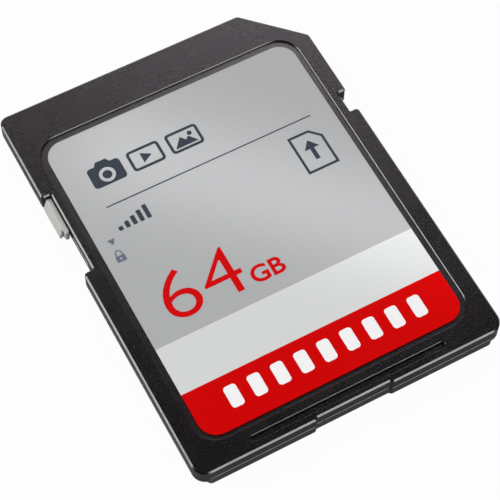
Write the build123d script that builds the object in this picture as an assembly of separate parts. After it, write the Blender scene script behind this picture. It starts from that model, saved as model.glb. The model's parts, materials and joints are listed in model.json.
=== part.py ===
from build123d import *
from math import sqrt
import os

# Full-size memory card, lying on its back with the label up.
# X runs across the card, +Y points to the contact end, Z rises from the back face.
# The origin is the middle of the back face. All sizes are in millimetres.

# Card body
card_length = 32.0
card_thickness = 2.1
near_corner_radius = 1.0
contact_corner_radius = 0.7
corner_cut = 4.0                # leg of the corner cut off at the contact end
cut_corner_radius = 0.4
edge_chamfer = 0.12             # broken edge round the front face
back_edge_chamfer = 0.1
seam_chamfer = 0.06             # fine groove where the two covers meet

# Contact row: its pads and edge margins make up the width of the card
pad_pitch = 2.5
pad_width = 1.7
pad_length = 4.0
pad_thickness = 0.05
pad_front_gap = 0.45            # front edge of the board to the front of the pads
narrow_pad_width = 1.1          # the last two pads of the row
narrow_pad_pitch = 1.7
wide_to_narrow_pitch = 2.425
corner_pad_setback = 1.9        # the pad beside the cut corner sits further back
row_right_margin = 2.625        # card edge to the middle of the first and last pad
row_left_margin = 2.25
window_side_gap = 0.1           # pad edge to the rib beside it
window_end_gap = 0.3
lead_in_height = 0.3            # slope under the contact end of the ribs
lead_in_length = 0.5

# Guide flange along both long sides
guide_width = 0.75
step_height = 0.7               # back face to the underside of the flange
step_corner_radius = 0.4

# Walls of the covers
front_roof = 0.3                # under the label recess
rear_floor = 0.35
side_wall = 1.3
end_wall = 1.5
front_lip = 0.75                # wall in front of the board
cut_lip = 0.4                   # the same wall along the cut corner
board_ledge = 0.5               # edge of the board held between the covers
seam_up_board = 0.25            # the covers meet part-way up the edge of the board

# Set-back in the middle of the near end
setback_width = 5.7
setback_depth = 0.16
setback_slope = 0.18
setback_radius = 0.14

# Lock notch in the right edge
lock_notch_from_end = 9.7
lock_notch_length = 1.8
lock_notch_depth = 0.66
lock_notch_far_radius = 0.15
lock_notch_near_radius = 0.25

# Write-protect slider and the notch it runs in
slider_notch_from_end = 7.6
slider_length = 3.15
slider_travel = 3.65
slider_end_gap = 0.05
slider_wall_gap = 0.08
slider_drop = 0.35              # top of the slider below the front face
slider_lift = 0.03              # underside of the slider above the flange underside
slider_bevel_width = 0.22
slider_bevel_height = 0.7
slider_taper = 0.12             # the bevel is set in at its far end
slider_tail_step = 0.3          # the outer lobe of the tail ends short of the inner one
slider_outer_lobe = 0.27        # outer face to the middle of the valley between the lobes
slider_outer_lobe_radius = 0.08
slider_tail_radius = 0.13
slider_valley_width = 0.16
slider_valley_depth = 0.16
slider_valley_radius = 0.02
slider_slope_length = 0.35      # the top falls away towards the tail
slider_slope_drop = 0.14
slider_edge_radius = 0.06
slider_notch_near_radius = 0.3
slider_notch_far_radius = 0.2
inner_notch_radius = 0.1
notch_relief = 0.2              # the step below is set in further than the notch
neck_length = 1.4
neck_height = 0.35
foot_length = 2.6
foot_width = 0.5
notch_wall = 0.45               # wall that keeps the foot inside the card
channel_wall = 0.3
running_clearance = 0.05

# Label and its recess
label_thickness = 0.09
label_corner_radius = 1.4
label_side_margin = 1.78
label_near_margin = 2.13
label_far_margin = 3.83
recess_depth = 0.14
recess_edge_chamfer = 0.06
recess_side_gap = 0.44
recess_near_gap = 0.33
recess_far_gap = 0.55

# Fingernail groove across the near end of the front face
groove_side_margin = 4.4
groove_from_edge = 0.85
groove_width = 0.48
groove_depth = 0.16
groove_edge_chamfer = 0.03

# Circuit board and the pins that place it
board_thickness = 0.36
board_clearance = 0.05
board_corner_radius = 0.3
pin_diameter = 1.0
pin_hole_clearance = 0.05
pin_inset = 2.2                 # from the side and near edges of the board
pin_above_board = 0.2

# Packages and small parts soldered to the board
chip_roof_gap = 0.04
chip_corner_radius = 0.15
chip_mark_diameter = 0.8        # dimple beside the first terminal
chip_mark_depth = 0.05
chip_mark_inset = 1.0
controller_size = 7.0
controller_from_front = 3.4
memory_width = 12.0
memory_near_margin = 1.6
memory_controller_gap = 1.2
passive_length = 1.0
passive_width = 0.5
passive_below_chip = 0.1
passive_cap = 0.22              # metal cap at each end
passive_waist = 0.03            # the body is set in from its caps
passive_pitch = 1.5
passive_gap = 1.0               # controller edge to the small parts beside it
capacitor_count = 4
resistor_count = 5

# Places that follow from the sizes above
pad_numbers = [9, 1, 2, 3, 4, 5, 6, 7, 8]           # from the right edge to the left
narrow_pads = [7, 8]
pad_offsets = [row_right_margin + pad_pitch * place for place in range(len(pad_numbers) - len(narrow_pads))]
pad_offsets.append(pad_offsets[-1] + wide_to_narrow_pitch)
pad_offsets.append(pad_offsets[-1] + narrow_pad_pitch)
card_width = pad_offsets[-1] + row_left_margin
half_width = card_width / 2
half_length = card_length / 2
half_step = half_width - guide_width
cut_sum = half_width + half_length - corner_cut     # x + y along the cut corner

board_bottom = step_height + pad_thickness
board_top = board_bottom + board_thickness
seam_height = board_bottom + seam_up_board
recess_floor = card_thickness - recess_depth
roof_height = recess_floor - front_roof

slider_notch_far = half_length - slider_notch_from_end
slider_notch_length = slider_length + slider_travel + 2 * slider_end_gap
slider_notch_near = slider_notch_far - slider_notch_length
slider_far = slider_notch_far - slider_end_gap
slider_near = slider_far - slider_length
slider_middle = (slider_far + slider_near) / 2
slider_inner = -half_step - slider_wall_gap
neck_bottom = seam_height + running_clearance
neck_top = neck_bottom + neck_height
channel_top = neck_top + running_clearance
channel_outer = -half_step + notch_wall
channel_inner = channel_outer + foot_width + 2 * running_clearance

board_side = half_width - side_wall
board_near = -half_length + end_wall
board_far = half_length - front_lip
board_relief = channel_inner + channel_wall
pin_places = [(side * (board_side - pin_inset), board_near + pin_inset) for side in (-1, 1)]
pad_front = board_far - pad_front_gap
chip_height = roof_height - chip_roof_gap - board_top
passive_height = chip_height - passive_below_chip
controller_far = board_far - controller_from_front
controller_near = controller_far - controller_size


def rounded_plan(corners):
    # Closed outline from (x, y, corner radius), counter-clockwise
    points = [(x, y) for x, y, radius in corners]
    radii = [radius for x, y, radius in corners]
    return make_face(FilletPolyline(*points, radius=radii, close=True))


def slab(plan, bottom, top):
    return extrude(Pos(0, 0, bottom) * plan, amount=top - bottom, dir=(0, 0, 1))


def block(left, right, near, far, bottom, top):
    middle = ((left + right) / 2, (near + far) / 2, (bottom + top) / 2)
    return Pos(*middle) * Box(right - left, far - near, top - bottom)


def top_edges(solid):
    return solid.faces().sort_by(Axis.Z)[-1].outer_wire().edges()


def bottom_edges(solid):
    return solid.faces().sort_by(Axis.Z)[0].outer_wire().edges()


def sunk_edges(solid):
    # Rim of the sunk area nearest the near end of the top face
    return solid.faces().sort_by(Axis.Z)[-1].inner_wires().sort_by(Axis.Y)[0].edges()


def near_end(half_span, corner_radius):
    # Near end from left to right, with the shallow set-back in its middle
    slope_start = setback_width / 2 + setback_slope
    setback_line = -half_length + setback_depth
    return [
        (-half_span, -half_length, corner_radius),
        (-slope_start, -half_length, setback_radius),
        (-setback_width / 2, setback_line, setback_radius),
        (setback_width / 2, setback_line, setback_radius),
        (slope_start, -half_length, setback_radius),
        (half_span, -half_length, corner_radius),
    ]


def contact_end(half_span):
    # Contact end from right to left: the cut corner, then the whole one
    return [
        (half_span, cut_sum - half_span, cut_corner_radius),
        (cut_sum - half_length, half_length, cut_corner_radius),
        (-half_span, half_length, contact_corner_radius),
    ]


def flange_plan():
    # Full outline with the lock notch on the right and the slider notch on the left
    lock_far = half_length - lock_notch_from_end
    lock_near = lock_far - lock_notch_length
    lock_wall = half_width - lock_notch_depth
    corners = near_end(half_width, near_corner_radius)
    corners += [
        (half_width, lock_near, lock_notch_near_radius),
        (lock_wall, lock_near, inner_notch_radius),
        (lock_wall, lock_far, inner_notch_radius),
        (half_width, lock_far, lock_notch_far_radius),
    ]
    corners += contact_end(half_width)
    corners += [
        (-half_width, slider_notch_far, slider_notch_far_radius),
        (-half_step, slider_notch_far, inner_notch_radius),
        (-half_step, slider_notch_near, inner_notch_radius),
        (-half_width, slider_notch_near, slider_notch_near_radius),
    ]
    return rounded_plan(corners)


def step_plan():
    return rounded_plan(near_end(half_step, step_corner_radius) + contact_end(half_step))


def board_plan(grow):
    # Outline of the board, with a relief on the left for the slider channel
    right = board_side + grow
    near = board_near - grow
    far = board_far + grow
    cut = cut_sum - (cut_lip - grow) * sqrt(2)
    relief = board_relief - grow
    relief_far = slider_notch_far + channel_wall - grow
    relief_near = slider_notch_near - channel_wall + grow
    corners = [
        (-right, near),
        (right, near),
        (right, cut - right),
        (cut - far, far),
        (-right, far),
        (-right, relief_far),
        (relief, relief_far),
        (relief, relief_near),
        (-right, relief_near),
    ]
    return rounded_plan([(x, y, board_corner_radius) for x, y in corners])


def label_plan(side_gap=0.0, near_gap=0.0, far_gap=0.0):
    half = half_width - label_side_margin + side_gap
    near = -half_length + label_near_margin - near_gap
    far = half_length - label_far_margin + far_gap
    corners = [(-half, near), (half, near), (half, far), (-half, far)]
    return rounded_plan([(x, y, label_corner_radius + side_gap) for x, y in corners])


def pad_place(number):
    # Middle of the pad across the card, its width and its front edge
    place = pad_numbers.index(number)
    width = narrow_pad_width if number in narrow_pads else pad_width
    front = pad_front - corner_pad_setback if place == 0 else pad_front
    return half_width - pad_offsets[place], width, front


def front_cover():
    cover = slab(flange_plan(), seam_height, card_thickness)
    cover = chamfer(bottom_edges(cover), seam_chamfer)
    cover = chamfer(top_edges(cover), edge_chamfer)
    cover -= slab(label_plan(recess_side_gap, recess_near_gap, recess_far_gap), recess_floor, card_thickness)
    cover = chamfer(sunk_edges(cover), recess_edge_chamfer)
    groove = SlotOverall(card_width - 2 * groove_side_margin, groove_width)
    groove = Pos(0, -half_length + groove_from_edge) * groove
    cover -= slab(groove, card_thickness - groove_depth, card_thickness)
    cover = chamfer(sunk_edges(cover), groove_edge_chamfer)
    cover -= slab(board_plan(board_clearance), 0, board_top)
    cover -= slab(board_plan(-board_ledge), 0, roof_height)
    return cover - slider_channel()


def slider_channel():
    # Slot through the notch wall for the neck, and the wider run behind it for the foot
    reach = slider_travel + slider_end_gap
    slot_far = slider_middle + neck_length / 2 + slider_end_gap
    slot_near = slider_middle - neck_length / 2 - reach
    run_far = slider_middle + foot_length / 2 + slider_end_gap
    run_near = slider_middle - foot_length / 2 - reach
    slot = block(-half_width, channel_inner, slot_near, slot_far, 0, channel_top)
    return slot + block(channel_outer, channel_inner, run_near, run_far, 0, channel_top)


def rear_cover():
    flange = slab(flange_plan(), step_height, seam_height)
    flange = chamfer(top_edges(flange), seam_chamfer)
    step = slab(step_plan(), 0, step_height)
    step = chamfer(bottom_edges(step), back_edge_chamfer)
    cover = flange + step - lead_in() - step_relief()
    cover -= slab(board_plan(board_clearance), board_bottom, card_thickness)
    for number in pad_numbers:
        cover -= contact_window(number)
    room_far = pad_front - corner_pad_setback - pad_length - window_end_gap - board_ledge
    room = slab(board_plan(-board_ledge), rear_floor, card_thickness)
    cover -= room & block(-half_width, half_width, -half_length, room_far, 0, card_thickness)
    for place in pin_places:
        cover += slab(Pos(*place) * Circle(pin_diameter / 2), rear_floor / 2, board_top + pin_above_board)
    return cover


def lead_in():
    # Wedge under the contact end that lets the card ride up over the springs of a slot
    far = half_length
    wedge = make_face(Polyline((far, 0), (far, lead_in_height), (far - lead_in_length, 0), close=True))
    return extrude(Plane.YZ * wedge, amount=half_width, both=True)


def step_relief():
    # Clears the edge of the step beside the run of the slider
    inner = notch_relief - half_step
    return block(-half_width, inner, slider_notch_near, slider_notch_far, 0, step_height)


def contact_window(number):
    # Opening under one pad, run out through the contact end between two ribs
    middle, width, front = pad_place(number)
    half = width / 2 + window_side_gap
    near = front - pad_length - window_end_gap
    below = block(middle - half, middle + half, near, half_length, 0, step_height)
    return below + block(middle - half, middle + half, near, front + window_end_gap, 0, board_bottom)


def write_protect_slider():
    # Finger tab from two crossed profiles, with a T-shaped neck and foot behind it
    outer = -half_width
    bevel = outer + slider_bevel_width
    bottom = step_height + slider_lift
    top = card_thickness - slider_drop
    bevel_foot = bevel - (top - bottom) * slider_bevel_width / slider_bevel_height
    section = rounded_plan([
        (bevel_foot, bottom, 0),
        (slider_inner + guide_width, bottom, 0),
        (slider_inner + guide_width, top, 0),
        (bevel, top, slider_edge_radius),
    ])
    section = Pos(0, slider_near, 0) * (Plane.XZ * section)
    tail = slider_near + slider_tail_step
    split = outer + slider_outer_lobe
    plan = rounded_plan([
        (outer, tail, slider_outer_lobe_radius),
        (split - slider_valley_width / 2, tail, slider_outer_lobe_radius),
        (split, tail + slider_valley_depth, slider_valley_radius),
        (split + slider_valley_width / 2, slider_near, slider_tail_radius),
        (slider_inner, slider_near, slider_tail_radius),
        (slider_inner, slider_far, slider_edge_radius),
        (outer, slider_far, slider_edge_radius),
    ])
    along = (slider_taper, slider_length, 0)
    tab = extrude(section, amount=half_length, dir=along, both=True) & slab(plan, 0, card_thickness)
    return tab - tail_slope(outer, top) + slider_foot(bevel)


def tail_slope(outer, top):
    # Wedge taken off the top of both lobes, along the slant of their ends
    start = slider_near + slider_slope_length
    end = start - 2 * slider_slope_length
    foot = top - 2 * slider_slope_drop
    wedge = make_face(Polyline((start, top), (start, card_thickness), (end, card_thickness), (end, foot), close=True))
    across = (slider_inner - outer) / 2
    wedge = Pos(slider_inner - across / 2, 0, 0) * (Plane.YZ * wedge)
    return extrude(wedge, amount=guide_width, dir=(across, -slider_tail_step, 0), both=True)


def slider_foot(root):
    foot_outer = channel_outer + running_clearance
    foot_inner = foot_outer + foot_width
    neck_near = slider_middle - neck_length / 2
    foot_near = slider_middle - foot_length / 2
    neck = block(root, foot_inner, neck_near, neck_near + neck_length, neck_bottom, neck_top)
    return neck + block(foot_outer, foot_inner, foot_near, foot_near + foot_length, neck_bottom, neck_top)


def circuit_board():
    board = slab(board_plan(0), board_bottom, board_top)
    for place in pin_places:
        board -= slab(Pos(*place) * Circle(pin_diameter / 2 + pin_hole_clearance), board_bottom, board_top)
    return board


def contact_pad(number):
    middle, width, front = pad_place(number)
    return block(middle - width / 2, middle + width / 2, front - pad_length, front, step_height, board_bottom)


def chip(width, near, far):
    # Moulded package on the board, with a round dimple at its first terminal
    half = width / 2
    top = board_top + chip_height
    corners = [(-half, near), (half, near), (half, far), (-half, far)]
    package = slab(rounded_plan([(x, y, chip_corner_radius) for x, y in corners]), board_top, top)
    mark = Pos(chip_mark_inset - half, far - chip_mark_inset) * Circle(chip_mark_diameter / 2)
    return package - slab(mark, top - chip_mark_depth, top)


def passive(middle_x, middle_y):
    # Small surface-mount part: a body with a thicker metal cap at each end
    half_body = passive_length / 2 - passive_cap
    half_part = passive_width / 2
    whole = Box(passive_length, passive_width, passive_height)
    waist = block(-half_body, half_body, -half_part, half_part, -passive_height / 2, passive_height / 2)
    body = block(-half_body, half_body, passive_waist - half_part, half_part - passive_waist,
                 -passive_height / 2, passive_height / 2 - passive_waist)
    return Pos(middle_x, middle_y, board_top + passive_height / 2) * (whole - waist + body)


memory_near = board_near + memory_near_margin
memory_far = controller_near - memory_controller_gap
nodes = {
    "front_cover": front_cover(),
    "rear_cover": rear_cover(),
    "write_protect_slider": write_protect_slider(),
    "front_label": slab(label_plan(), recess_floor, recess_floor + label_thickness),
    "circuit_board": circuit_board(),
    "controller_chip": chip(controller_size, controller_near, controller_far),
    "memory_chip": chip(memory_width, memory_near, memory_far),
}
for number in pad_numbers:
    nodes[f"contact_pad_{number}"] = contact_pad(number)
for place in range(capacitor_count):
    along = (place - (capacitor_count - 1) / 2) * passive_pitch
    beside = controller_size / 2 + passive_gap + passive_length / 2
    nodes[f"capacitor_{place + 1}"] = passive(beside, (controller_near + controller_far) / 2 + along)
for place in range(resistor_count):
    along = (place - (resistor_count - 1) / 2) * passive_pitch
    nodes[f"resistor_{place + 1}"] = passive(along, controller_far + passive_gap + passive_width / 2)

os.makedirs("parts", exist_ok=True)
for name, solid in nodes.items():
    export_step(solid, f"parts/{name}.step")
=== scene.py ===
import bmesh
import bpy
import json
import math
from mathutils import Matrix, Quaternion, Vector


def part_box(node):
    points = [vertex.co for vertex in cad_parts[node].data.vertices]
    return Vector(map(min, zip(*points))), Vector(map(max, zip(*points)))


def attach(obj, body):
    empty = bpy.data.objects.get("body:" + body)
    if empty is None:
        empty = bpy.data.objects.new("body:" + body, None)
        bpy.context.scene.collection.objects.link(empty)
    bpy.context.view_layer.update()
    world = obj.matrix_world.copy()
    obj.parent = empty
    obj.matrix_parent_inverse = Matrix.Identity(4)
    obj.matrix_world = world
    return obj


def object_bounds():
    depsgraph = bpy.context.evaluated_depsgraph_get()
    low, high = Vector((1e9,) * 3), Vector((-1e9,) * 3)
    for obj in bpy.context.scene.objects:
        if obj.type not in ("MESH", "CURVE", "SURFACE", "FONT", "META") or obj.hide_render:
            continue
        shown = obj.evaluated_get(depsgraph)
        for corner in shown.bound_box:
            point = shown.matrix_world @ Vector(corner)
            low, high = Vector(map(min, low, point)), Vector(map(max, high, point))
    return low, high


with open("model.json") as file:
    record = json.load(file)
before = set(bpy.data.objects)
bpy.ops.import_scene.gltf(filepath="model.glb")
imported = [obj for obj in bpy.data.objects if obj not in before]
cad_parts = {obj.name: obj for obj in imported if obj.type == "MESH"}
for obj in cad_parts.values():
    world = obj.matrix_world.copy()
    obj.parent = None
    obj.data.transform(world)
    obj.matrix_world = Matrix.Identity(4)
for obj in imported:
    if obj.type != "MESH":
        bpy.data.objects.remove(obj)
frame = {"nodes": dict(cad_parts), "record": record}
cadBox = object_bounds()
cad = frame["nodes"]
scene = bpy.context.scene
mm = 0.001  # every setting below is in millimetres unless it says otherwise

print("frame loaded:", len(cad), "nodes")


# Small helpers for node trees
def put(tree, kind, options=None, inputs=None):
    node = tree.nodes.new(kind)
    for name, value in (options or {}).items():
        setattr(node, name, value)
    for name, value in (inputs or {}).items():
        if isinstance(value, bpy.types.NodeSocket):
            tree.links.new(value, node.inputs[name])
        else:
            node.inputs[name].default_value = value
    return node


def feed(tree, sockets, values):
    for name, value in values.items():
        tree.links.new(value, sockets[name])


def calc(tree, operation, *values):
    node = put(tree, "ShaderNodeMath", {"operation": operation}, dict(enumerate(values)))
    return node.outputs[0]


def ramp(tree, value, low, high, toLow=0.0, toHigh=1.0, smooth=True):
    kind = "SMOOTHSTEP" if smooth else "LINEAR"
    node = put(tree, "ShaderNodeMapRange", {"interpolation_type": kind},
               {"Value": value, "From Min": low, "From Max": high,
                "To Min": toLow, "To Max": toHigh})
    return node.outputs["Result"]


def between(tree, mask, ends):
    return ramp(tree, mask, 0, 1, *ends)


# The mix node has its own sockets for each kind of data, so they go by place
def blend(tree, factor, first, second):
    node = put(tree, "ShaderNodeMix", {"data_type": "RGBA"}, {0: factor, 6: first, 7: second})
    return node.outputs[2]


def blendValue(tree, factor, first, second):
    node = put(tree, "ShaderNodeMix", {"data_type": "FLOAT"}, {0: factor, 2: first, 3: second})
    return node.outputs[0]


def bumped(tree, height, depth, normal=None, invert=False):
    bump = put(tree, "ShaderNodeBump", {"invert": invert},
               {"Height": height, "Distance": depth * mm})
    if normal is not None:
        tree.links.new(normal, bump.inputs["Normal"])
    return bump.outputs["Normal"]


def split(tree, vector):
    return put(tree, "ShaderNodeSeparateXYZ", None, {"Vector": vector}).outputs


def colour(red, green, blue):
    return (red, green, blue, 1.0)


def newMaterial(name):
    material = bpy.data.materials.new(name)
    material.use_nodes = True
    return material, material.node_tree, material.node_tree.nodes["Principled BSDF"]


def millimetreCoords(tree):
    place = put(tree, "ShaderNodeTexCoord")
    return put(tree, "ShaderNodeVectorMath", {"operation": "SCALE"},
               {0: place.outputs["Object"], "Scale": 1 / mm}).outputs[0]


# Distance from the middle of a piece along its own X, half at either end
def fromMiddle(tree):
    along = split(tree, put(tree, "ShaderNodeTexCoord").outputs["Generated"])["X"]
    return calc(tree, "ABSOLUTE", calc(tree, "SUBTRACT", along, 0.5))


def newGroup(name, inputs, outputs):
    group = bpy.data.node_groups.new(name, "ShaderNodeTree")
    for label, default in inputs.items():
        socket = group.interface.new_socket(label, in_out="INPUT", socket_type="NodeSocketFloat")
        socket.default_value = default
    for label, kind in outputs.items():
        group.interface.new_socket(label, in_out="OUTPUT", socket_type=kind)
    given = group.nodes.new("NodeGroupInput").outputs
    return group, given, group.nodes.new("NodeGroupOutput").inputs


def useGroup(tree, group, **values):
    node = put(tree, "ShaderNodeGroup", {"node_tree": group}, values)
    return node.outputs


# Shared effect: the fine spark-eroded grain of a moulded surface
grainLook = {
    "detail": 3.0,
    "fineShare": 0.6,  # weight of each finer layer of the noise
    "pitSoftness": 0.6,
    "pitShare": 0.6,
    "speckle": (0.35, 0.72),  # noise over which the speckle sets in
}


def makeMouldGrain(look):
    group, given, result = newGroup(
        "mouldGrain", {"PerMm": 8.0}, {"Height": "NodeSocketFloat", "Speckle": "NodeSocketFloat"})
    place = millimetreCoords(group)
    fine = put(group, "ShaderNodeTexNoise", None,
               {"Vector": place, "Scale": given["PerMm"], "Detail": look["detail"],
                "Roughness": look["fineShare"]}).outputs["Fac"]
    pits = put(group, "ShaderNodeTexVoronoi", {"feature": "SMOOTH_F1"},
               {"Vector": place, "Scale": given["PerMm"],
                "Smoothness": look["pitSoftness"]}).outputs["Distance"]
    feed(group, result, {
        "Height": calc(group, "MULTIPLY_ADD", pits, look["pitShare"], fine),
        "Speckle": ramp(group, fine, *look["speckle"]),
    })
    return group


# Shared effect: softened edges, with a mask of the slopes between level and upright faces
# and one of the upright faces
rubLook = {
    "samples": 6,
    "slopes": (0.06, 0.2),  # of level times its rest to 1, which is a quarter at 45 degrees
    "upright": (0.35, 0.05),  # of level, which is 1 on a level face and 0 on an upright one
    "patchPerMm": 1.3,
    "patchDetail": 2.0,
    "patches": (0.3, 0.65),
    "leastRub": 0.75,  # what is left between the patches
}


def makeEdgeRub(look):
    group, given, result = newGroup(
        "edgeRub", {"Radius": 0.06 * mm},
        {"Rub": "NodeSocketFloat", "Upright": "NodeSocketFloat", "Normal": "NodeSocketVector"})
    soft = put(group, "ShaderNodeBevel", {"samples": look["samples"]},
               {"Radius": given["Radius"]}).outputs["Normal"]
    rise = split(group, soft)["Z"]
    level = calc(group, "MULTIPLY", rise, rise)
    slope = calc(group, "MULTIPLY", level, calc(group, "SUBTRACT", 1.0, level))
    patch = put(group, "ShaderNodeTexNoise", None,
                {"Vector": millimetreCoords(group), "Scale": look["patchPerMm"],
                 "Detail": look["patchDetail"]}).outputs["Fac"]
    uneven = ramp(group, patch, *look["patches"], look["leastRub"], 1.0)
    feed(group, result, {
        "Rub": calc(group, "MULTIPLY", ramp(group, slope, *look["slopes"]), uneven),
        "Upright": ramp(group, level, *look["upright"]),
        "Normal": soft,
    })
    return group


# Shared effect: traces of handling, broad smudges and a few dust specks
handlingLook = {
    "detail": 4.0,
    "swirl": 0.4,
    "smudges": (0.3, 0.7),
    "speck": (0.07, 0.02),  # distance from the middle of a cell, as a share of its size
    "kept": (0.86, 0.9),  # only cells that draw a number above this hold a speck
}


def makeHandling(look):
    group, given, result = newGroup(
        "handling", {"SmudgePerMm": 0.35, "DustPerMm": 1.6},
        {"Smudge": "NodeSocketFloat", "Dust": "NodeSocketFloat"})
    place = millimetreCoords(group)
    broad = put(group, "ShaderNodeTexNoise", None,
                {"Vector": place, "Scale": given["SmudgePerMm"], "Detail": look["detail"],
                 "Distortion": look["swirl"]}).outputs["Fac"]
    cells = put(group, "ShaderNodeTexVoronoi", None,
                {"Vector": place, "Scale": given["DustPerMm"]}).outputs
    drawn = put(group, "ShaderNodeSeparateColor", None, {"Color": cells["Color"]}).outputs[0]
    speck = ramp(group, cells["Distance"], *look["speck"])
    feed(group, result, {
        "Smudge": ramp(group, broad, *look["smudges"]),
        "Dust": calc(group, "MULTIPLY", speck, ramp(group, drawn, *look["kept"])),
    })
    return group


mouldGrain = makeMouldGrain(grainLook)
edgeRub = makeEdgeRub(rubLook)
handling = makeHandling(handlingLook)
print("shared effects built")


# Both covers: black plastic with a fine moulded grain
coverLook = {
    "black": colour(0.0024, 0.0021, 0.0024),
    "speckle": colour(0.0070, 0.0062, 0.0070),
    # lighter tone on the broken edges: partly rubbing wear, partly a painted highlight along them
    "edgeTone": colour(0.006, 0.0056, 0.006),
    "dust": colour(0.06, 0.06, 0.06),
    "dustShare": 0.5,
    "dustPerMm": 1.4,
    "smudgePerMm": 0.3,
    "roughness": (0.247, 0.287),
    "rubbedRoughness": 0.22,
    "wallRoughness": 0.45,
    "draft": 0.1,  # lean of the walls away from the seam, as a slope
    "draftHeight": 0.94,  # the lean ends below the broken edges
    "recessGloss": 0.6,  # the floor of the label recess comes off a polished part of the mould
    "recessReach": 0.01,
    "rubbedGloss": 0.54,  # handling has polished the broken edges
    "glossRoughness": 0.28,
    "specularLevel": 0.36,
    "grainPerMm": 12.0,
    "grainDepth": 0.012,
    "grainRoughness": 0.042,  # the pits of the grain are that much duller
    "edgeRadius": 0.04,
}


def coverPlastic(look):
    material, tree, shader = newMaterial("cover_plastic")
    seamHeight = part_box("front_cover")[0].z / mm
    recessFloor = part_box("front_label")[0].z / mm
    grain = useGroup(tree, mouldGrain, PerMm=look["grainPerMm"])
    edge = useGroup(tree, edgeRub, Radius=look["edgeRadius"] * mm)
    marks = useGroup(tree, handling, SmudgePerMm=look["smudgePerMm"], DustPerMm=look["dustPerMm"])
    tone = blend(tree, grain["Speckle"], look["black"], look["speckle"])
    # Painted highlight: the broken edges get a lighter colour, partly rubbing wear and partly
    # light painted into the colour
    tone = blend(tree, edge["Rub"], tone, look["edgeTone"])
    dusty = calc(tree, "MULTIPLY", marks["Dust"], look["dustShare"])
    tone = blend(tree, dusty, tone, look["dust"])
    rough = between(tree, marks["Smudge"], look["roughness"])
    rough = calc(tree, "MULTIPLY_ADD", grain["Speckle"], look["grainRoughness"], rough)
    rough = blendValue(tree, edge["Upright"], rough, look["wallRoughness"])
    rough = blendValue(tree, edge["Rub"], rough, look["rubbedRoughness"])
    relief = calc(tree, "MULTIPLY", grain["Height"], calc(tree, "SUBTRACT", 1.0, edge["Rub"]))
    rise = split(tree, millimetreCoords(tree))["Z"]
    fromSeam = calc(tree, "ABSOLUTE", calc(tree, "SUBTRACT", rise, seamHeight))
    fromSeam = calc(tree, "MINIMUM", fromSeam, look["draftHeight"])
    relief = calc(tree, "MULTIPLY_ADD", fromSeam, -look["draft"] / look["grainDepth"], relief)
    inRecess = calc(tree, "COMPARE", rise, recessFloor, look["recessReach"])
    recessGloss = calc(tree, "MULTIPLY", inRecess, look["recessGloss"])
    rubbedGloss = calc(tree, "MULTIPLY", edge["Rub"], look["rubbedGloss"])
    feed(tree, shader.inputs, {
        "Base Color": tone,
        "Roughness": rough,
        "Normal": bumped(tree, relief, look["grainDepth"], edge["Normal"]),
        "Coat Weight": calc(tree, "MAXIMUM", recessGloss, rubbedGloss),
    })
    shader.inputs["Coat Roughness"].default_value = look["glossRoughness"]
    shader.inputs["Specular IOR Level"].default_value = look["specularLevel"]
    return material


# Write-protect slider: light grey, a little smoother than the covers
sliderLook = {
    "grey": colour(0.46, 0.457, 0.434),
    "shade": colour(0.415, 0.412, 0.391),
    # lighter tone on the bevels and broken edges: partly rubbing wear, partly painted light that
    # makes them brighter than the top
    "edgeTone": colour(0.53, 0.527, 0.503),
    "roughness": (0.42, 0.55),
    "smudgePerMm": 0.6,
    "grainPerMm": 9.0,
    "grainDepth": 0.002,
    "edgeRadius": 0.05,
    "glowShare": 0.08,  # light that passes a little way through the plastic
    "glowDepth": 0.3,
}


def sliderPlastic(look):
    material, tree, shader = newMaterial("slider_plastic")
    grain = useGroup(tree, mouldGrain, PerMm=look["grainPerMm"])
    edge = useGroup(tree, edgeRub, Radius=look["edgeRadius"] * mm)
    marks = useGroup(tree, handling, SmudgePerMm=look["smudgePerMm"])
    tone = blend(tree, marks["Smudge"], look["grey"], look["shade"])
    feed(tree, shader.inputs, {
        # Painted light: the bevels and broken edges are made lighter than the top, partly rubbing
        # wear and partly light painted into the colour
        "Base Color": blend(tree, edge["Rub"], tone, look["edgeTone"]),
        "Roughness": between(tree, marks["Smudge"], look["roughness"]),
        "Normal": bumped(tree, grain["Height"], look["grainDepth"], edge["Normal"]),
    })
    shader.inputs["Subsurface Weight"].default_value = look["glowShare"]
    shader.inputs["Subsurface Scale"].default_value = look["glowDepth"] * mm
    return material


# Front label: satin film in three fields of colour, with a painted sheen that makes it brighter
# along one diagonal
labelLook = {
    "grey": colour(0.410, 0.427, 0.421),
    "white": colour(0.641, 0.675, 0.646),
    "red": colour(0.598, 0.0006, 0.0006),
    "whiteFrom": -6.2,
    "redFrom": -10.05,
    "fieldEdge": 0.02,
    # Painted sheen: a band of lighter colour along one diagonal of the label
    "paintedSheenGain": 0.33,
    "paintedSheenMiddle": 4.3,  # x + y along the brightest line
    "paintedSheenWidth": 6.8,
    "paintedSheenFade": (15.0, 21.5),  # y - x over which it weakens towards the whole corner
    "paintedSheenEnd": 0.38,
    "mottle": (0.985, 1.015),
    "roughness": (0.46, 0.54),
    "smudgePerMm": 0.25,
    "specularLevel": 0.03,
    "filmPerMm": 14.0,
    "filmDepth": 0.0008,
}


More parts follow.
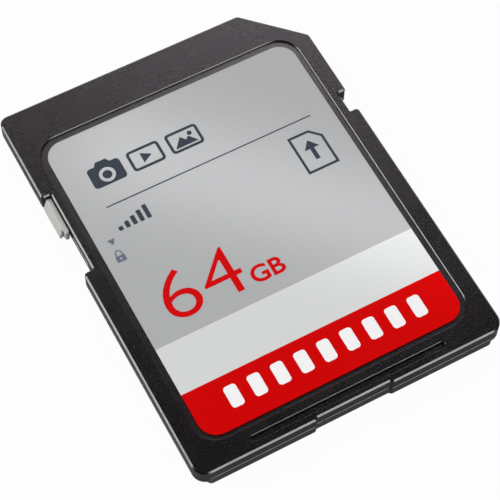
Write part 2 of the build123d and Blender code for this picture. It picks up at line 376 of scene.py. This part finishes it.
def labelFilm(look):
    material, tree, shader = newMaterial("label_film")
    film = useGroup(tree, mouldGrain, PerMm=look["filmPerMm"])
    marks = useGroup(tree, handling, SmudgePerMm=look["smudgePerMm"])
    place = split(tree, millimetreCoords(tree))
    half = look["fieldEdge"] / 2
    white = ramp(tree, place["Y"], look["whiteFrom"] + half, look["whiteFrom"] - half)
    red = ramp(tree, place["Y"], look["redFrom"] + half, look["redFrom"] - half)
    tone = blend(tree, white, look["grey"], look["white"])
    tone = blend(tree, red, tone, look["red"])
    # Painted sheen: the base colour is raised in a band along x + y and weakens towards one
    # corner; it is light painted into the colour, not lit by any lamp
    across = calc(tree, "ADD", place["X"], place["Y"])
    across = calc(tree, "SUBTRACT", across, look["paintedSheenMiddle"])
    across = calc(tree, "DIVIDE", across, look["paintedSheenWidth"])
    fall = calc(tree, "MULTIPLY", calc(tree, "MULTIPLY", across, across), -1.0)
    along = calc(tree, "SUBTRACT", place["Y"], place["X"])
    fade = ramp(tree, along, *look["paintedSheenFade"], 1.0, look["paintedSheenEnd"], smooth=False)
    glow = calc(tree, "MULTIPLY", calc(tree, "EXPONENT", fall), fade)
    gain = calc(tree, "MULTIPLY_ADD", glow, look["paintedSheenGain"], 1.0)
    gain = calc(tree, "MULTIPLY", gain, between(tree, film["Speckle"], look["mottle"]))
    feed(tree, shader.inputs, {
        "Base Color": put(tree, "ShaderNodeVectorMath", {"operation": "SCALE"},
                          {0: tone, "Scale": gain}).outputs[0],
        "Roughness": between(tree, marks["Smudge"], look["roughness"]),
        "Normal": bumped(tree, film["Height"], look["filmDepth"]),
    })
    shader.inputs["Specular IOR Level"].default_value = look["specularLevel"]
    return material


# Printing inks on the label: a solid tone with a faint uneven lay
inkTones = {
    "ink_slate": {"full": colour(0.040, 0.052, 0.066), "thin": colour(0.052, 0.066, 0.082)},
    "ink_pale_slate": {"full": colour(0.125, 0.150, 0.195), "thin": colour(0.150, 0.178, 0.225)},
    "ink_red": {"full": colour(0.58, 0.0015, 0.002), "thin": colour(0.63, 0.004, 0.005)},
    "ink_white": {"full": colour(0.90, 0.91, 0.90), "thin": colour(0.86, 0.87, 0.86)},
}
inkLook = {
    "layPerMm": 11.0,
    "smudgePerMm": 0.5,
    "roughness": (0.44, 0.54),
    "specularLevel": 0.03,
}


def printingInk(name, tones, look):
    material, tree, shader = newMaterial(name)
    lay = useGroup(tree, mouldGrain, PerMm=look["layPerMm"])
    marks = useGroup(tree, handling, SmudgePerMm=look["smudgePerMm"])
    feed(tree, shader.inputs, {
        "Base Color": blend(tree, lay["Speckle"], tones["full"], tones["thin"]),
        "Roughness": between(tree, marks["Smudge"], look["roughness"]),
    })
    shader.inputs["Specular IOR Level"].default_value = look["specularLevel"]
    return material


# Contact pads: gold plate, wiped along the card by the springs of a slot
padLook = {
    "gold": colour(0.83, 0.58, 0.22),
    "worn": colour(0.74, 0.50, 0.20),
    "roughness": (0.22, 0.42),
    "smudgePerMm": 0.9,
    "smudgeShare": 0.5,
    "wearShare": 0.5,
    "wipeWidth": 0.45,  # as a share of the pad's width, like its soft edge
    "wipeEdge": 0.08,
    "scratchPerMm": 22.0,
    "scratchDetail": 2.0,
    "scratchStretch": 0.05,
    "scratches": (0.4, 0.65),
    "scratchDepth": 0.0006,
}


def padGold(look):
    material, tree, shader = newMaterial("pad_gold")
    marks = useGroup(tree, handling, SmudgePerMm=look["smudgePerMm"])
    drawn = put(tree, "ShaderNodeVectorMath", {"operation": "MULTIPLY"},
                {0: millimetreCoords(tree), 1: (1.0, look["scratchStretch"], 1.0)}).outputs[0]
    lines = put(tree, "ShaderNodeTexNoise", None,
                {"Vector": drawn, "Scale": look["scratchPerMm"],
                 "Detail": look["scratchDetail"]}).outputs["Fac"]
    half = look["wipeWidth"] / 2
    wiped = ramp(tree, fromMiddle(tree), half + look["wipeEdge"], half - look["wipeEdge"])
    wear = calc(tree, "MULTIPLY", wiped, ramp(tree, lines, *look["scratches"]))
    dull = calc(tree, "MULTIPLY_ADD", marks["Smudge"], look["smudgeShare"],
                calc(tree, "MULTIPLY", wear, look["wearShare"]))
    feed(tree, shader.inputs, {
        "Base Color": blend(tree, wear, look["gold"], look["worn"]),
        "Roughness": between(tree, dull, look["roughness"]),
        "Normal": bumped(tree, lines, look["scratchDepth"]),
    })
    shader.inputs["Metallic"].default_value = 1.0
    return material


# Circuit board: green solder mask over copper tracks
boardLook = {
    "mask": colour(0.010, 0.085, 0.036),
    "overCopper": colour(0.022, 0.150, 0.060),
    "roughness": (0.28, 0.42),
    "smudgePerMm": 0.4,
    "trackPitch": 0.42,
    "trackLength": 3.78,
    "trackGap": 0.07,
    "trackSoftness": 0.2,
    "trackHeight": 0.012,
    "grainPerMm": 5.0,
    "grainShare": 0.08,
}


def boardLaminate(look):
    material, tree, shader = newMaterial("board_laminate")
    grain = useGroup(tree, mouldGrain, PerMm=look["grainPerMm"])
    marks = useGroup(tree, handling, SmudgePerMm=look["smudgePerMm"])
    gaps = put(tree, "ShaderNodeTexBrick", None, {
        "Vector": millimetreCoords(tree),
        "Scale": 1.0,
        "Brick Width": look["trackLength"],
        "Row Height": look["trackPitch"],
        "Mortar Size": look["trackGap"],
        "Mortar Smooth": look["trackSoftness"],
    }).outputs["Fac"]
    sunk = calc(tree, "MULTIPLY_ADD", grain["Height"], look["grainShare"], gaps)
    feed(tree, shader.inputs, {
        "Base Color": blend(tree, gaps, look["overCopper"], look["mask"]),
        "Roughness": between(tree, marks["Smudge"], look["roughness"]),
        "Normal": bumped(tree, sunk, look["trackHeight"], invert=True),
    })
    return material


# Chip packages: matt black moulding resin
chipLook = {
    "black": colour(0.016, 0.016, 0.018),
    "filler": colour(0.035, 0.035, 0.038),
    "edgeTone": colour(0.06, 0.06, 0.064),
    "roughness": (0.5, 0.62),
    "smudgePerMm": 0.5,
    "grainPerMm": 12.0,
    "grainDepth": 0.003,
    "edgeRadius": 0.04,
}


def chipResin(look):
    material, tree, shader = newMaterial("chip_resin")
    grain = useGroup(tree, mouldGrain, PerMm=look["grainPerMm"])
    edge = useGroup(tree, edgeRub, Radius=look["edgeRadius"] * mm)
    marks = useGroup(tree, handling, SmudgePerMm=look["smudgePerMm"])
    tone = blend(tree, grain["Speckle"], look["black"], look["filler"])
    feed(tree, shader.inputs, {
        "Base Color": blend(tree, edge["Rub"], tone, look["edgeTone"]),
        "Roughness": between(tree, marks["Smudge"], look["roughness"]),
        "Normal": bumped(tree, grain["Height"], look["grainDepth"], edge["Normal"]),
    })
    return material


# Capacitors and resistors: a fired body between two tinned ends
passiveLooks = {
    "capacitor_ceramic": {
        "body": colour(0.36, 0.23, 0.13), "fleck": colour(0.44, 0.30, 0.18), "roughness": 0.5,
        "grainPerMm": 14.0, "grainDepth": 0.002},
    "resistor_ceramic": {
        "body": colour(0.022, 0.022, 0.026), "fleck": colour(0.05, 0.05, 0.055), "roughness": 0.3,
        "grainPerMm": 14.0, "grainDepth": 0.002},
}
tinLook = {
    "tin": colour(0.62, 0.61, 0.58),
    "roughness": 0.32,
    "capShare": 0.22,  # of the length, at each end
    "capEdge": 0.01,
}


def passiveCeramic(name, look, ends):
    material, tree, shader = newMaterial(name)
    grain = useGroup(tree, mouldGrain, PerMm=look["grainPerMm"])
    start = 0.5 - ends["capShare"]
    tinned = ramp(tree, fromMiddle(tree), start - ends["capEdge"], start + ends["capEdge"])
    body = blend(tree, grain["Speckle"], look["body"], look["fleck"])
    feed(tree, shader.inputs, {
        "Base Color": blend(tree, tinned, body, ends["tin"]),
        "Metallic": tinned,
        "Roughness": between(tree, tinned, (look["roughness"], ends["roughness"])),
        "Normal": bumped(tree, grain["Height"], look["grainDepth"]),
    })
    return material


finishes = {
    "cover_plastic": coverPlastic(coverLook),
    "slider_plastic": sliderPlastic(sliderLook),
    "label_film": labelFilm(labelLook),
    "pad_gold": padGold(padLook),
    "board_laminate": boardLaminate(boardLook),
    "chip_resin": chipResin(chipLook),
}
for name, look in passiveLooks.items():
    finishes[name] = passiveCeramic(name, look, tinLook)
inks = {name: printingInk(name, tones, inkLook) for name, tones in inkTones.items()}

for part in frame["record"]["subparts"]:
    node = cad[part["node"]]
    node.data.materials.clear()
    node.data.materials.append(finishes[part["material_slot"]])
print("materials given to", len(cad), "nodes")


# Outlines for the printed marks, as closed rings of points in label millimetres
def roundedBox(left, right, near, far, radius, steps=5):
    ring = []
    corners = ((right, far, 0), (left, far, 90), (left, near, 180), (right, near, 270))
    for x, y, start in corners:
        middleX = x - radius if x == right else x + radius
        middleY = y - radius if y == far else y + radius
        for step in range(steps + 1):
            turn = math.radians(start + 90 * step / steps)
            ring.append((middleX + radius * math.cos(turn), middleY + radius * math.sin(turn)))
    return ring


def arc(x, y, radius, turns):
    return [(x + radius * math.cos(turn), y + radius * math.sin(turn)) for turn in turns]


def disc(x, y, radius, steps=36):
    return arc(x, y, radius, [2 * math.pi * step / steps for step in range(steps)])


# A printed mark is a thin closed layer of ink, its underside a hair inside the film
inkThickness = 0.006
weldReach = 0.0001
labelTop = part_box("front_label")[1].z


def inkLayer(name, source, ink):
    mesh = bpy.data.meshes.new_from_object(source)
    shape = bmesh.new()
    shape.from_mesh(mesh)
    bmesh.ops.remove_doubles(shape, verts=shape.verts, dist=weldReach * mm)
    triangles = [face for face in shape.faces if len(face.verts) == 3]
    inner = [edge for edge in shape.edges
             if all(len(face.verts) == 3 for face in edge.link_faces)]
    bmesh.ops.beautify_fill(shape, faces=triangles, edges=inner)  # no slivers along a line
    bmesh.ops.recalc_face_normals(shape, faces=shape.faces)
    for face in shape.faces:
        face.smooth = False
    shape.to_mesh(mesh)
    shape.free()
    mesh.name = name
    mesh.materials.clear()
    mesh.materials.append(inks[ink])
    curve = source.data
    bpy.data.objects.remove(source)
    bpy.data.curves.remove(curve)
    piece = bpy.data.objects.new(name, mesh)
    piece.location.z = labelTop
    scene.collection.objects.link(piece)
    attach(piece, "card")
    return piece


def printMark(name, rings, ink):
    curve = bpy.data.curves.new(name, "CURVE")
    curve.dimensions = "2D"
    curve.fill_mode = "BOTH"
    curve.extrude = inkThickness * mm / 2
    for ring in rings:
        spline = curve.splines.new("POLY")
        spline.points.add(len(ring) - 1)
        for point, (x, y) in zip(spline.points, ring):
            point.co = (x * mm, y * mm, 0, 1)
        spline.use_cyclic_u = True
    inkLayer(name, bpy.data.objects.new(name, curve), ink)


# Text comes at its own size and is fitted to its box here
def printFigures(name, words, weight, left, right, near, far, ink):
    text = bpy.data.curves.new(name, "FONT")
    text.body = words
    text.offset = weight
    text.extrude = inkThickness  # only for its two sides, the ink is set below
    text.resolution_u = 6
    source = bpy.data.objects.new(name, text)
    scene.collection.objects.link(source)
    bpy.context.view_layer.update()
    piece = inkLayer(name, source, ink)
    points = [vert.co.copy() for vert in piece.data.vertices]
    lowX, lowY = (min(point[axis] for point in points) for axis in (0, 1))
    highX, highY = (max(point[axis] for point in points) for axis in (0, 1))
    for vert in piece.data.vertices:
        x = left + (vert.co.x - lowX) / (highX - lowX) * (right - left)
        y = near + (vert.co.y - lowY) / (highY - lowY) * (far - near)
        vert.co = (x * mm, y * mm, math.copysign(inkThickness / 2, vert.co.z) * mm)


# What the label carries
labelPrint = {
    "rule": {"left": -8.2, "right": 8.55, "middle": 5.55, "height": 0.1},
    "figures": {"words": "64", "weight": -0.01,
                "left": -8.1, "right": -2.05, "near": -5.0, "far": -1.1},
    "unit": {"words": "GB", "weight": 0.022,
             "left": -1.7, "right": 0.87, "near": -5.0, "far": -3.6},
    "lockArrow": {"x": -9.1, "y": 2.8, "width": 0.62, "height": 0.5},
    "padlock": {"x": -9.1, "near": 1.08, "width": 0.72, "body": 0.52, "radius": 0.05,
                "bow": 0.27, "bowSteps": 12, "wire": 0.1, "legs": 0.2, "keyhole": 0.09},
    "useMarks": {"left": -8.2, "pitch": 3.15, "width": 2.6, "near": 7.2, "height": 1.8,
                 "line": 0.22, "radius": 0.3, "innerRadius": 0.12},
    "camera": {"lensRise": 0.46, "lens": 0.62, "glass": 0.36,
               "finderFoot": 0.62, "finderTop": 0.42, "finderHeight": 0.32},
    "film": {"arrowBack": 0.32, "arrowTip": 0.46, "arrowHalf": 0.45},
    "picture": {"hillGap": 0.12, "sunX": 1.86, "sunDrop": 0.38, "sun": 0.19,
                "hills": ((0.36, 0), (1.06, 0.86), (1.42, 0.44), (1.66, 0.7), (2.22, 0))},
    "gradeBars": {"left": -8.2, "near": 3.35, "count": 5, "width": 0.34, "pitch": 0.56,
                  "low": 0.35, "high": 1.2, "radius": 0.06},
    "cardMark": {"left": 6.0, "right": 8.55, "near": 1.1, "far": 4.5, "cut": 0.8, "line": 0.2,
                 "arrowDrop": 0.75, "arrowHeight": 1.75, "headHeight": 0.75, "headHalf": 0.6,
                 "shaftHalf": 0.17},
    "contactBars": {"left": -7.55, "right": 7.9, "near": -12.6, "far": -10.9, "count": 9,
                    "gap": 0.85, "radius": 0.25},
}


def printRule(rule):
    low = rule["middle"] - rule["height"] / 2
    ring = roundedBox(rule["left"], rule["right"], low, low + rule["height"], rule["height"] / 3)
    printMark("print_rule", [ring], "ink_slate")


def printLock(arrow, lock):
    half = arrow["width"] / 2
    top = arrow["y"] + arrow["height"] / 2
    tip = arrow["y"] - arrow["height"] / 2
    ring = [(arrow["x"] - half, top), (arrow["x"], tip), (arrow["x"] + half, top)]
    printMark("print_lock_arrow", [ring], "ink_pale_slate")
    x = lock["x"]
    half = lock["width"] / 2
    bodyTop = lock["near"] + lock["body"]
    body = roundedBox(x - half, x + half, lock["near"], bodyTop, lock["radius"])
    keyhole = disc(x, lock["near"] + lock["body"] / 2, lock["keyhole"], steps=16)
    printMark("print_lock_body", [body, keyhole], "ink_pale_slate")
    turns = [math.pi * step / lock["bowSteps"] for step in range(lock["bowSteps"] + 1)]
    bowMiddle = bodyTop + lock["legs"]
    outside = arc(x, bowMiddle, lock["bow"], turns)
    inside = arc(x, bowMiddle, lock["bow"] - lock["wire"], reversed(turns))
    leftLeg = [(outside[-1][0], bodyTop), (inside[0][0], bodyTop)]
    rightLeg = [(inside[-1][0], bodyTop), (outside[0][0], bodyTop)]
    printMark("print_lock_shackle", [outside + leftLeg + inside + rightLeg], "ink_pale_slate")


# What the card is used for: a still camera, a frame of film and a picture
def printUseMarks(marks, camera, film, picture):
    near = marks["near"]
    far = near + marks["height"]
    line = marks["line"]

    def frameRings(left):
        right = left + marks["width"]
        return [roundedBox(left, right, near, far, marks["radius"]),
                roundedBox(left + line, right - line, near + line, far - line,
                           marks["innerRadius"])]

    left = marks["left"]
    middle = left + marks["width"] / 2
    lensY = near + marks["height"] * camera["lensRise"]
    body = frameRings(left)[0]
    lens = [disc(middle, lensY, camera[ring]) for ring in ("lens", "glass")]
    finderTop = far + camera["finderHeight"]
    finder = [(middle - camera["finderFoot"], far), (middle - camera["finderTop"], finderTop),
              (middle + camera["finderTop"], finderTop), (middle + camera["finderFoot"], far)]
    printMark("print_camera_body", [body, *lens], "ink_slate")
    printMark("print_camera_finder", [finder], "ink_slate")

    left += marks["pitch"]
    middle = left + marks["width"] / 2
    centre = (near + far) / 2
    back = middle - film["arrowBack"]
    arrow = [(back, centre + film["arrowHalf"]), (back, centre - film["arrowHalf"]),
             (middle + film["arrowTip"], centre)]
    printMark("print_film_frame", frameRings(left) + [arrow], "ink_slate")

    left += marks["pitch"]
    ground = near + line + picture["hillGap"]
    hills = [(left + x, ground + y) for x, y in picture["hills"]]
    sun = disc(left + picture["sunX"], far - line - picture["sunDrop"], picture["sun"], steps=20)
    printMark("print_picture_frame", frameRings(left) + [hills, sun], "ink_slate")


def printGradeBars(bars):
    for place in range(bars["count"]):
        left = bars["left"] + place * bars["pitch"]
        height = bars["low"] + (bars["high"] - bars["low"]) * place / (bars["count"] - 1)
        ring = roundedBox(left, left + bars["width"], bars["near"], bars["near"] + height,
                          bars["radius"])
        printMark(f"print_grade_bar_{place + 1}", [ring], "ink_slate")


# Outline of a card, with an arrow to the end that goes in first
def printCardMark(mark):
    def outline(inset):
        left = mark["left"] + inset
        right = mark["right"] - inset
        near = mark["near"] + inset
        far = mark["far"] - inset
        cut = mark["cut"] - inset * (2 - math.sqrt(2))  # keeps the line as wide along the cut
        return [(left, near), (right, near), (right, far - cut), (right - cut, far), (left, far)]

    middle = (mark["left"] + mark["right"]) / 2
    tip = mark["far"] - mark["arrowDrop"]
    barb = tip - mark["headHeight"]
    foot = tip - mark["arrowHeight"]
    head = mark["headHalf"]
    shaft = mark["shaftHalf"]
    arrow = [(middle, tip), (middle - head, barb), (middle - shaft, barb), (middle - shaft, foot),
             (middle + shaft, foot), (middle + shaft, barb), (middle + head, barb)]
    printMark("print_card_outline", [outline(0), outline(mark["line"]), arrow], "ink_slate")


def printContactBars(bars):
    step = (bars["right"] - bars["left"] + bars["gap"]) / bars["count"]
    for place in range(bars["count"]):
        left = bars["left"] + place * step
        right = left + step - bars["gap"]
        ring = roundedBox(left, right, bars["near"], bars["far"], bars["radius"])
        printMark(f"print_contact_bar_{place + 1}", [ring], "ink_white")


printRule(labelPrint["rule"])
printFigures("print_figures", ink="ink_red", **labelPrint["figures"])
printFigures("print_unit", ink="ink_red", **labelPrint["unit"])
printLock(labelPrint["lockArrow"], labelPrint["padlock"])
printUseMarks(labelPrint["useMarks"], labelPrint["camera"], labelPrint["film"],
              labelPrint["picture"])
printGradeBars(labelPrint["gradeBars"])
printCardMark(labelPrint["cardMark"])
printContactBars(labelPrint["contactBars"])
print("label printed")


# Floor and room, both white to the eye
stageLook = {
    "floorSize": 6000.0,
    "floorDrop": 0.01,
    "floorPaint": colour(0.5, 0.5, 0.5),
    "floorRoughness": 0.9,
    "whiteToEye": 0.97,  # share of plain white in the floor as seen, the rest is its real shading
    "whiteInGloss": 0.2,  # the same for its mirror image
    "roomToEye": 0.975,
    "horizon": 0.05,  # light from the room itself, low down and overhead
    "ceiling": 0.0005,
    "horizonTop": 0.25,  # sine of the height at which the room turns to ceiling
}


def makeFloor(look):
    material, tree, shader = newMaterial("studio_floor")
    shader.inputs["Base Color"].default_value = look["floorPaint"]
    shader.inputs["Roughness"].default_value = look["floorRoughness"]
    shader.inputs["Specular IOR Level"].default_value = 0.0
    path = put(tree, "ShaderNodeLightPath").outputs
    mirrored = calc(tree, "MAXIMUM", path["Is Glossy Ray"], path["Is Transmission Ray"])
    share = calc(tree, "MULTIPLY", path["Is Camera Ray"], look["whiteToEye"])
    share = calc(tree, "MULTIPLY_ADD", mirrored, look["whiteInGloss"], share)
    white = put(tree, "ShaderNodeEmission", None, {"Color": colour(1, 1, 1), "Strength": 1.0})
    both = put(tree, "ShaderNodeMixShader", None,
               {0: share, 1: shader.outputs[0], 2: white.outputs[0]})
    tree.links.new(both.outputs[0], tree.nodes["Material Output"].inputs["Surface"])
    shape = bmesh.new()
    bmesh.ops.create_grid(shape, x_segments=4, y_segments=4, size=look["floorSize"] / 2 * mm)
    mesh = bpy.data.meshes.new("floor")
    shape.to_mesh(mesh)
    shape.free()
    mesh.materials.append(material)
    floor = bpy.data.objects.new("floor", mesh)
    floor.location.z = cadBox[0].z - look["floorDrop"] * mm
    scene.collection.objects.link(floor)


def makeRoom(look):
    world = bpy.data.worlds.new("studio")
    world.use_nodes = True
    tree = world.node_tree
    back = tree.nodes["Background"]
    byCamera = put(tree, "ShaderNodeLightPath").outputs["Is Camera Ray"]
    height = split(tree, put(tree, "ShaderNodeTexCoord").outputs["Generated"])["Z"]
    level = ramp(tree, height, 0.0, look["horizonTop"], look["horizon"], look["ceiling"])
    seen = calc(tree, "MULTIPLY", byCamera, look["roomToEye"])
    back.inputs["Color"].default_value = colour(1, 1, 1)
    tree.links.new(calc(tree, "MAXIMUM", level, seen), back.inputs["Strength"])
    scene.world = world


# Three soft boxes, each aimed at the card from a bearing (from +Y towards +X) and a height,
# both in degrees
lampLooks = {
    "front_softbox": {"bearing": 165, "height": 24, "away": 360, "size": (190, 150),
                      "glow": 9.6, "tint": (1.0, 1.0, 1.0)},
    "left_softbox": {"bearing": -65, "height": 26, "away": 360, "size": (140, 300),
                     "glow": 10.6, "tint": (1.0, 1.0, 1.0)},
    "back_softbox": {"bearing": 30, "height": 37, "away": 400, "size": (220, 140),
                     "glow": 10.0, "tint": (1.0, 0.91, 0.99)},
}


def standOff(thing, target, look):
    bearing = math.radians(look["bearing"])
    height = math.radians(look["height"])
    flat = math.cos(height)
    back = Vector((math.sin(bearing) * flat, math.cos(bearing) * flat, math.sin(height)))
    thing.location = target + back * look["away"] * mm
    thing.rotation_mode = "QUATERNION"
    thing.rotation_quaternion = (-back).to_track_quat("-Z", "Y")


def hangLamp(name, look):
    lamp = bpy.data.lights.new(name, "AREA")
    lamp.shape = "RECTANGLE"
    lamp.size, lamp.size_y = (side * mm for side in look["size"])
    lamp.energy = look["glow"] * math.pi * lamp.size * lamp.size_y
    lamp.color = look["tint"]
    holder = bpy.data.objects.new(name, lamp)
    standOff(holder, Vector((0, 0, 0)), look)
    holder.visible_camera = False
    scene.collection.objects.link(holder)


# Camera: the photograph's viewing angle
cameraLook = {
    "target": (-0.493, -1.867, 1.05),
    "away": 129.536,
    "bearing": -150.838,
    "height": 61.257,
    "roll": 0.946,
    "lens": 130.497,
    "sensor": 36.0,
    "clipStart": 1.0,
}


def setCamera(look):
    camera = bpy.data.cameras.new("camera")
    camera.lens = look["lens"]
    camera.sensor_width = look["sensor"]
    camera.clip_start = look["clipStart"] * mm
    holder = bpy.data.objects.new("camera", camera)
    standOff(holder, Vector(look["target"]) * mm, look)
    holder.rotation_quaternion @= Quaternion((0, 0, 1), math.radians(look["roll"]))
    scene.collection.objects.link(holder)
    scene.camera = holder


makeFloor(stageLook)
makeRoom(stageLook)
for name, look in lampLooks.items():
    hangLamp(name, look)
setCamera(cameraLook)
scene.view_settings.view_transform = "Standard"
print("stage, lamps and camera set")
